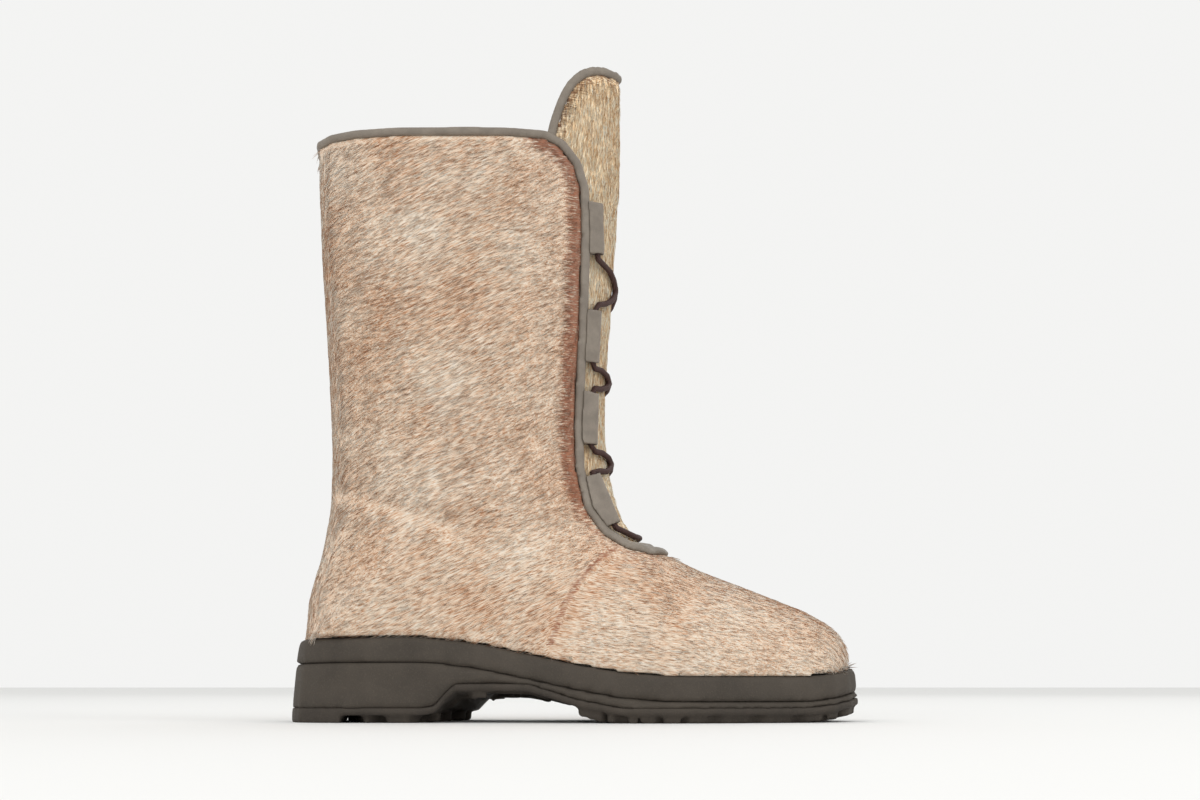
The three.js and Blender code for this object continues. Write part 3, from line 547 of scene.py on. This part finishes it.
# Dark fringe hair along the shaft's front edge, and painted shade along the vamp seam
def hideFringeAndSeamShade(points):
    low, added = upperFacts["fringeShares"]
    edge = 1 - smoothStep(lineDistance(points, edgeLine), *upperFacts["fringe"])
    edge *= low + added * smoothStep(points[:, 2], *upperFacts["fringeRise"])
    seam = 1 - smoothStep(lineDistance(points, seamLine), *upperFacts["seamShade"])
    return np.maximum(edge, seam * upperFacts["seamShadeShare"])


def vampMask(points):  # 1 ahead of the seam, where the hair turns towards the toe
    upwards = seamLine[::-1]
    seamX = np.interp(points[:, 2], [z for x, z in upwards], [x for x, z in upwards])
    return smoothStep(points[:, 0] - seamX, -upperFacts["seamTurn"], upperFacts["seamTurn"])


def axisFacing(face):  # 1 where a face looks straight at the middle of the shaft
    toAxis = Vector((axisX - face.center.x, centreY - face.center.y, 0)).normalized()
    return face.normal.dot(toAxis)


# Which faces take the lining: those that look at the middle of the shaft, and in
# the foot those that look at another wall and have a thin wall behind them
def findInside(piece):
    places = [point.co for point in piece.data.vertices]
    skin = BVHTree.FromPolygons(places, [face.vertices for face in piece.data.polygons])
    inside = []
    for face in piece.data.polygons:
        if face.center.z > upperFacts["shaftFrom"]:
            inside.append(axisFacing(face) > upperFacts["shaftFacing"])
            continue
        step = face.normal * upperFacts["rayStart"]
        ahead = skin.ray_cast(face.center + step, face.normal)[0]
        wall = skin.ray_cast(face.center - step, -face.normal)[3]
        inHeel = face.center.x < heelX + upperFacts["heelReach"] and face.normal.x > upperFacts["heelFacing"]
        facesIn = ahead is not None or inHeel
        inside.append(facesIn and wall is not None and wall < upperFacts["wall"])
    return inside


upper = roundedCopy("upper", "upper_hide", upperFacts["faceSize"], upperFacts["passes"], upperHold)
points, normals = readPoints(upper), readNormals(upper)
move = np.zeros(len(points))
for line, depth, width in upperFacts["creases"]:
    fall = lineDistance(points, line) / width
    move -= depth * np.exp(-fall * fall)
ripple = upperFacts["ripple"]
waveX = np.sin(points[:, 0] * ripple["alongX"] + ripple["start"])
waveZ = np.sin(points[:, 2] * ripple["alongZ"])
move += ripple["depth"] * waveX * waveZ * smoothStep(points[:, 2], *ripple["rise"])
move *= upperHold(points)
side = np.sign(points[:, 1] - centreY)
points[:, 1] += side * move * np.clip(np.abs(normals[:, 1]) * upperFacts["sideGain"], 0, 1)
writePoints(upper, points)
setAttribute(upper, "foot", vampMask(points))
setAttribute(upper, "fringe", hideFringeAndSeamShade(points))
setAttribute(upper, "tone", np.full(len(points), skinTone))
upper.data.materials.append(hideMaterial)
upper.data.materials.append(liningMaterial)
upper.data.polygons.foreach_set("material_index", np.array(findInside(upper), np.int32))
print("upper is shaped")

# Where the tongue's hair meets its binding, from behind the collar up to the top
rootLine = sideLine((128, 300), (133.4, 319.5), (141.3, 338.7), (151.8, 348.7), (163.5, 351.8), (176, 352))
tongueFacts = {
    "faceSize": 0.0017,
    "passes": 16,
    "edgeHold": (0.0045, 0.009),
    "turn": (0.1, 0.16),  # heights between which the hair changes its slope
    "fringe": (0.002, 0.014),
    "fringeShare": 0.75,
    "facing": 0.3,
}


def tongueHold(points):
    return smoothStep(lineDistance(points, rootLine), *tongueFacts["edgeHold"])


def throatMask(points):
    return 1 - smoothStep(points[:, 2], *tongueFacts["turn"])


def tongueFringe(points):
    faded = smoothStep(lineDistance(points, rootLine), *tongueFacts["fringe"])
    return tongueFacts["fringeShare"] * (1 - faded)


tongue = roundedCopy(
    "tongue", "tongue_fur", tongueFacts["faceSize"], tongueFacts["passes"], tongueHold
)
points = readPoints(tongue)
setAttribute(tongue, "foot", throatMask(points))
setAttribute(tongue, "fringe", tongueFringe(points))
setAttribute(tongue, "tone", np.full(len(points), skinTone))
tongue.data.materials.append(tongueMaterial)
tongue.data.materials.append(liningMaterial)
for face in tongue.data.polygons:
    face.material_index = int(axisFacing(face) > tongueFacts["facing"])
print("tongue is shaped")

leatherPieces = {
    # node: face size, rounding passes, swell over the edge that it covers
    "collar_binding": (0.00095, 14, 0.0008),
    "tongue_binding": (0.0008, 10, 0.0008),
    "throat_tab": (0.0006, 5, 0),
}
for sideName in ("outer", "inner"):
    for number in range(1, 5):
        leatherPieces[f"loop_{sideName}_{number}"] = (0.00075, 4, 0)
for nodeName, (faceSize, passes, distance) in leatherPieces.items():
    strip = roundedCopy(nodeName, nodeName + "_leather", faceSize, passes)
    strip.data.materials.append(leatherMaterial)
    if distance:
        swell(strip, distance)

laceFacts = {
    "faceSize": 0.00048,
    "passes": 10,
    "swell": 0.0003,  # gives back what the rounding took
}
lace = roundedCopy("lace", "lace_cord", laceFacts["faceSize"], laceFacts["passes"])
lace.data.materials.append(cordMaterial)
swell(lace, laceFacts["swell"])

footbedFacts = {"faceSize": 0.0022, "passes": 2}
footbed = roundedCopy("insole", "footbed", footbedFacts["faceSize"], footbedFacts["passes"])
footbed.data.materials.append(fleeceMaterial)
print("leather, lace and footbed are shaped")

soleFacts = {
    "treadFace": 0.00115,
    "layerFace": 0.0019,
    "passes": 2,
    "parts": 120,  # the outline's full turn is read in this many parts
    "reach": 3,  # parts on each side that even out one part
    "growth": (0.98, 1.02),  # how far the outline may move in or out
    "swell": 0.0003,  # the glued layers press on each other
}
outsole = roundedCopy("outsole", "tread", soleFacts["treadFace"], soleFacts["passes"])
outsole.data.materials.append(outsoleMaterial)
soleLayers = [outsole]
for nodeName, pieceName in (("wedge", "sole_wedge"), ("midsole", "sole_rim")):
    layer = roundedCopy(nodeName, pieceName, soleFacts["layerFace"], soleFacts["passes"])
    layer.data.materials.append(foamMaterial)
    soleLayers.append(layer)


# Radii round the outline, evened by a parabola that slides along them
def evened(radii, reach):
    steps = np.arange(-reach, reach + 1)
    weights = 3 * (3 * reach * reach + 3 * reach - 1 - 5 * steps * steps)
    weights = weights / ((2 * reach - 1) * (2 * reach + 1) * (2 * reach + 3))
    return np.convolve(np.concatenate([radii[-reach:], radii, radii[:reach]]), weights, "valid")


parts = soleFacts["parts"]


def rimParts(points):  # place round the outline, counted in parts
    return np.arctan2(points[:, 1], points[:, 0]) % math.tau / math.tau * parts


rimPoints = readPoints(soleLayers[-1])
radii = np.zeros(parts)
np.maximum.at(radii, rimParts(rimPoints).astype(int) % parts, np.hypot(rimPoints[:, 0], rimPoints[:, 1]))
growth = np.clip(evened(radii, soleFacts["reach"]) / radii, *soleFacts["growth"])
for layer in soleLayers:
    points = readPoints(layer)
    share = np.interp(rimParts(points), np.arange(parts) + 0.5, growth, period=parts)
    points[:, :2] *= share[:, None]
    points += readNormals(layer) * soleFacts["swell"]
    points[:, 2] = np.maximum(points[:, 2], 0)
    writePoints(layer, points)
print("sole is shaped")

blade = {
    "width": 0.00009,
    "rootDepth": 0.0003,
    "tipLift": 0.2,  # share of the root's lift
    "points": 4,
    "corners": ([0, 1, 2], [1, 3, 2], [3, 0, 2], [0, 3, 1]),  # of its four faces
    "smallestArea": 1e-12,
}


# Short hairs: thin closed blades that lie along the flow and stand a little off the skin
def growHairs(pieceName, skin, finish, facts):
    rng = np.random.default_rng(facts["seed"])
    count = facts["count"]
    mesh = skin.data
    mesh.calc_loop_triangles()
    corners = np.zeros(len(mesh.loop_triangles) * 3, np.int32)
    mesh.loop_triangles.foreach_get("vertices", corners)
    corners = corners.reshape(-1, 3)
    owner = np.zeros(len(corners), np.int32)
    mesh.loop_triangles.foreach_get("polygon_index", owner)
    material = np.zeros(len(mesh.polygons), np.int32)
    mesh.polygons.foreach_get("material_index", material)
    corners = corners[material[owner] == 0]  # the outer side alone

    places = readPoints(skin)
    a, b, c = places[corners[:, 0]], places[corners[:, 1]], places[corners[:, 2]]
    cross = np.cross(b - a, c - a)
    area = np.linalg.norm(cross, axis=1)
    faceNormal = cross / np.maximum(area, blade["smallestArea"])[:, None]
    weight = area * facts["roots"]((a + b + c) / 3, faceNormal)
    chosen = rng.choice(len(corners), count, p=weight / weight.sum())
    u, v = rng.random(count), rng.random(count)
    flip = u + v > 1
    u[flip], v[flip] = 1 - u[flip], 1 - v[flip]
    root = a[chosen] + (b - a)[chosen] * u[:, None] + (c - a)[chosen] * v[:, None]
    normal = faceNormal[chosen]

    along = facts["flow"](root, normal) + rng.normal(0, facts["tangle"], root.shape)
    along -= normal * (along * normal).sum(1)[:, None]
    along /= np.linalg.norm(along, axis=1)[:, None]
    lift = np.radians(rng.uniform(*facts["lift"], count))[:, None]
    length = rng.uniform(*facts["length"], count)[:, None]
    across = np.cross(along, normal) * blade["width"]
    tipLift = lift * blade["tipLift"]
    base = root - normal * blade["rootDepth"]
    middle = root + (along * np.cos(lift) + normal * np.sin(lift)) * length * 0.5
    tip = middle + (along * np.cos(tipLift) + normal * np.sin(tipLift)) * length * 0.5
    blades = np.stack([base - across, base + across, middle + normal * blade["width"], tip], axis=1)
    blades = blades.reshape(-1, 3)
    first = np.arange(count)[:, None] * blade["points"]
    faces = np.concatenate([first + face for face in blade["corners"]], axis=0)

    data = bpy.data.meshes.new(pieceName)
    data.from_pydata(blades.tolist(), [], faces.tolist())
    piece = bpy.data.objects.new(pieceName, data)
    bpy.context.scene.collection.objects.link(piece)
    setAttribute(piece, "tone", np.repeat(rng.random(count), blade["points"]))
    setAttribute(piece, "foot", facts["footMask"](blades))
    # on the hide this mask also holds the painted shade along the vamp seam
    setAttribute(piece, "fringe", facts["fringeMask"](blades))
    piece.data.materials.append(finish)
    pick(piece)
    bpy.ops.object.shade_smooth()
    coatNormals = np.repeat(normal, blade["points"], axis=0)  # the skin's own, for a soft, even coat
    data.normals_split_custom_set_from_vertices(coatNormals.tolist())
    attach(piece, "root")


hideCoat = {
    "swirls": [(0.07, 61, 37), (0.05, -29, 83)],  # size, then how fast it turns along X and Z
    "edgeNear": (0.003, 0.01),  # turned to edgeWay up to here, free from here on
    "edgeWay": (-1, 0, -0.1),
    "endFacing": (0.5, 0.95),  # how far the skin looks to the front or the rear
    "endWay": (0, 0, -1),
    # where no hair has its root
    "bareEdge": 0.001,
    "bareBed": 0.001,
    "bareTop": 0.3032,
    "rimFrom": 0.29,
    "rimFacing": 0.25,
    "lipFrom": (0.165, 0.078),  # front lip of the throat: ahead of the heel, above the floor
    "lipFacing": 0.05,
    "split": 0.1,  # above it the hair is one piece, below it another
}


def hideFlow(root, normal):
    foot = vampMask(root)[:, None]
    shaftTurn, footTurn = (math.radians(slope) for slope in hideLook["slopes"])
    shaftWay = np.array([-math.cos(shaftTurn), 0, -math.sin(shaftTurn)])
    footWay = np.array([math.cos(footTurn), 0, math.sin(footTurn)])
    way = shaftWay * (1 - foot) + footWay * foot
    swirls = [size * np.sin(root[:, 0] * x + root[:, 2] * z) for size, x, z in hideCoat["swirls"]]
    way[:, 2] += sum(swirls)
    fromEdge = smoothStep(lineDistance(root, edgeLine), *hideCoat["edgeNear"])
    near = (1 - fromEdge)[:, None] * (1 - foot)
    way = way * (1 - near) + np.array(hideCoat["edgeWay"]) * near
    ends = smoothStep(np.abs(normal[:, 0]), *hideCoat["endFacing"])[:, None]  # at the heel and the toe
    return way * (1 - ends) + np.array(hideCoat["endWay"]) * ends


def hideRoots(places, normal):
    ahead, height = places[:, 0] - heelX, places[:, 2]
    lipX, lipZ = hideCoat["lipFrom"]
    rim = (height > hideCoat["rimFrom"]) & (normal[:, 2] > hideCoat["rimFacing"])
    lip = (ahead > lipX) & (height > lipZ) & (normal[:, 0] < hideCoat["lipFacing"])
    clear = (height < hideCoat["bareTop"]) & (height > bedHeights(places) + hideCoat["bareBed"])
    return clear & ~rim & ~lip & (lineDistance(places, throatLine) > hideCoat["bareEdge"])


def shaftRoots(places, normal):
    return hideRoots(places, normal) & (places[:, 2] > hideCoat["split"])


def footRoots(places, normal):
    return hideRoots(places, normal) & (places[:, 2] <= hideCoat["split"])


shaftHair = {
    "seed": 5,
    "count": 46000,
    "tangle": 0.1,
    "lift": (1, 6),  # degrees off the skin
    "length": (0.0045, 0.009),
    "roots": shaftRoots,
    "flow": hideFlow,
    "footMask": vampMask,
    "fringeMask": hideFringeAndSeamShade,
}
footHair = {**shaftHair, "seed": 6, "count": 31000, "length": (0.0035, 0.0075), "roots": footRoots}
growHairs("shaft_hair", upper, hideMaterial, shaftHair)
growHairs("foot_hair", upper, hideMaterial, footHair)

tongueCoat = {
    "way": (-0.12, 0, -1.0),
    "bareFoot": 0.088,
    "bareEdge": 0.001,
    "rimFrom": 0.33,
    "rimFacing": 0.25,
    "frontFacing": 0.15,
    "sideFacing": 0.3,
    "collar": 0.295,  # height up to which the shaft's walls hide the tongue's sides
    "shownFrom": (0.12, 0.14),  # ahead of the heel, above the collar and below it
}


def tongueRoots(places, normal):
    height = places[:, 2]
    rim = (height > tongueCoat["rimFrom"]) & (normal[:, 2] > tongueCoat["rimFacing"])
    clear = (height > tongueCoat["bareFoot"]) & (lineDistance(places, rootLine) > tongueCoat["bareEdge"])
    outwards = normal[:, 1] * np.sign(places[:, 1] - centreY)
    facing = (normal[:, 0] > tongueCoat["frontFacing"]) | (outwards > tongueCoat["sideFacing"])
    shown = places[:, 0] > heelX + np.where(height > tongueCoat["collar"], *tongueCoat["shownFrom"])
    return clear & ~rim & facing & shown


def tongueFlow(root, normal):
    return np.tile(tongueCoat["way"], (len(root), 1))


tongueHair = {
    "seed": 7,
    "count": 22000,
    "tangle": 0.12,
    "lift": (2, 8),
    "length": (0.005, 0.01),
    "roots": tongueRoots,
    "flow": tongueFlow,
    "footMask": throatMask,
    "fringeMask": tongueFringe,
}
growHairs("tongue_hair", tongue, tongueMaterial, tongueHair)
print("hair is grown")
